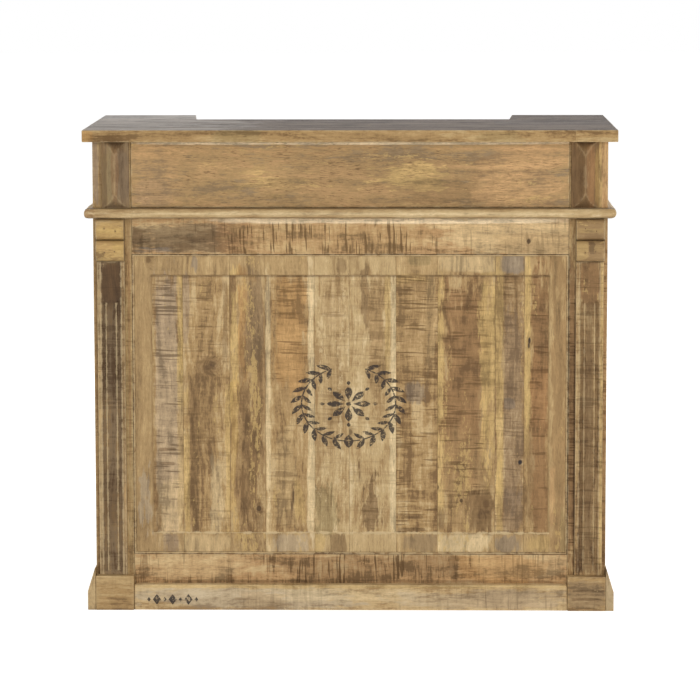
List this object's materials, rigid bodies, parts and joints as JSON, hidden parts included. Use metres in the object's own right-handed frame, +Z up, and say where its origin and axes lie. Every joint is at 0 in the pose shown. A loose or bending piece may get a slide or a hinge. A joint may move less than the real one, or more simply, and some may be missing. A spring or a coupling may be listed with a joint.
{
  "type": "bar cabinet",
  "caption": "Free-standing wooden bar counter: panelled front with fluted pilasters and carved blocks, arms on the bar top, and drawers, doors and bottle bays at the back.",
  "frame": {"origin": "on the floor under the middle of the bar top's bounding box", "axes": "+X along the bar to the right as seen from the front, +Y from the front panel to the drawers and doors at the back, +Z up"},
  "size_m": [1.2, 0.55, 1.095],
  "materials": {
    "bar_top_wood": "greyed, waxed mango wood with a fine straight grain",
    "frieze_wood": "smooth planed mango wood, honey with golden flecks, low sheen",
    "frame_wood": "mango wood with worn arrises and crosswise saw marks, matt wax",
    "moulding_wood": "pale straw mango wood, sanded smooth, low sheen",
    "panel_wood": "rough-sawn mixed planks, tan to umber, planed round the border, matt wax",
    "carved_wood": "hand-cut facets in brown mango wood with bright worn ridges",
    "plinth_wood": "light grey-tan mango wood, matt wax",
    "side_wood": "mango wood planks, light saw marks, matt wax",
    "inner_wood": "plain planed mango wood, thin wax",
    "drawer_wood": "planed mango wood, low sheen wax",
    "dark_iron": "blackened, rubbed brighter on the rims",
    "hinge_steel": "dull antique steel"
  },
  "bodies": {
    "cabinet": {"bar_top": "bar_top_wood", "bar_top_arm_left": "bar_top_wood", "bar_top_arm_right": "bar_top_wood", "frieze_board": "frieze_wood", "front_post_left": "frame_wood", "front_post_right": "frame_wood", "bottom_rail": "frame_wood", "top_rail": "frame_wood", "panel_bead": "frame_wood", "pilaster_left": "frame_wood", "pilaster_right": "frame_wood", "mid_moulding_front": "moulding_wood", "mid_moulding_left": "moulding_wood", "mid_moulding_right": "moulding_wood", "corbel_left": "moulding_wood", "corbel_right": "moulding_wood", "front_panel": "panel_wood", "diamond_block_left": "carved_wood", "diamond_block_right": "carved_wood", "plinth_board": "plinth_wood", "plinth_block_left": "plinth_wood", "plinth_block_right": "plinth_wood", "plinth_skirt_left": "plinth_wood", "plinth_skirt_right": "plinth_wood", "side_rail_lower_left": "side_wood", "side_rail_lower_right": "side_wood", "side_rail_upper_left": "side_wood", "side_rail_upper_right": "side_wood", "back_stile_left": "side_wood", "back_stile_right": "side_wood", "side_panel_left": "side_wood", "side_panel_right": "side_wood", "bottle_rack_left": "inner_wood", "bottle_rack_right": "inner_wood", "drawer_divider": "inner_wood", "drawer_board": "inner_wood", "cupboard_floor": "inner_wood", "cupboard_shelf": "inner_wood", "cupboard_toe_rail": "inner_wood", "worktop": "drawer_wood", "hinge_wall_leaf_left_lower": "hinge_steel", "hinge_wall_leaf_left_upper": "hinge_steel", "hinge_wall_leaf_right_lower": "hinge_steel", "hinge_wall_leaf_right_upper": "hinge_steel"},
    "drawer_left": {"drawer_front_left": "drawer_wood", "drawer_box_left": "inner_wood", "drawer_knob_left": "dark_iron"},
    "door_left": {"door_frame_left": "drawer_wood", "door_panel_left": "inner_wood", "door_knob_left": "dark_iron", "hinge_door_leaf_left_lower": "hinge_steel", "hinge_door_leaf_left_upper": "hinge_steel"},
    "drawer_right": {"drawer_front_right": "drawer_wood", "drawer_box_right": "inner_wood", "drawer_knob_right": "dark_iron"},
    "door_right": {"door_frame_right": "drawer_wood", "door_panel_right": "inner_wood", "door_knob_right": "dark_iron", "hinge_door_leaf_right_lower": "hinge_steel", "hinge_door_leaf_right_upper": "hinge_steel"}
  },
  "joints": [
    {"name": "drawer_left_slide", "type": "slide", "parent": "cabinet", "child": "drawer_left", "axis": [0, 1, 0], "range_m": [0, 0.2]},
    {"name": "drawer_right_slide", "type": "slide", "parent": "cabinet", "child": "drawer_right", "axis": [0, 1, 0], "range_m": [0, 0.2]},
    {"name": "door_left_hinge", "type": "hinge", "parent": "cabinet", "child": "door_left", "pos_m": [-0.3952, 0.0928, 0.396], "axis": [0, 0, 1], "range_deg": [0, 90]},
    {"name": "door_right_hinge", "type": "hinge", "parent": "cabinet", "child": "door_right", "pos_m": [0.3952, 0.0928, 0.396], "axis": [0, 0, 1], "range_deg": [-90, 0]}
  ]
}
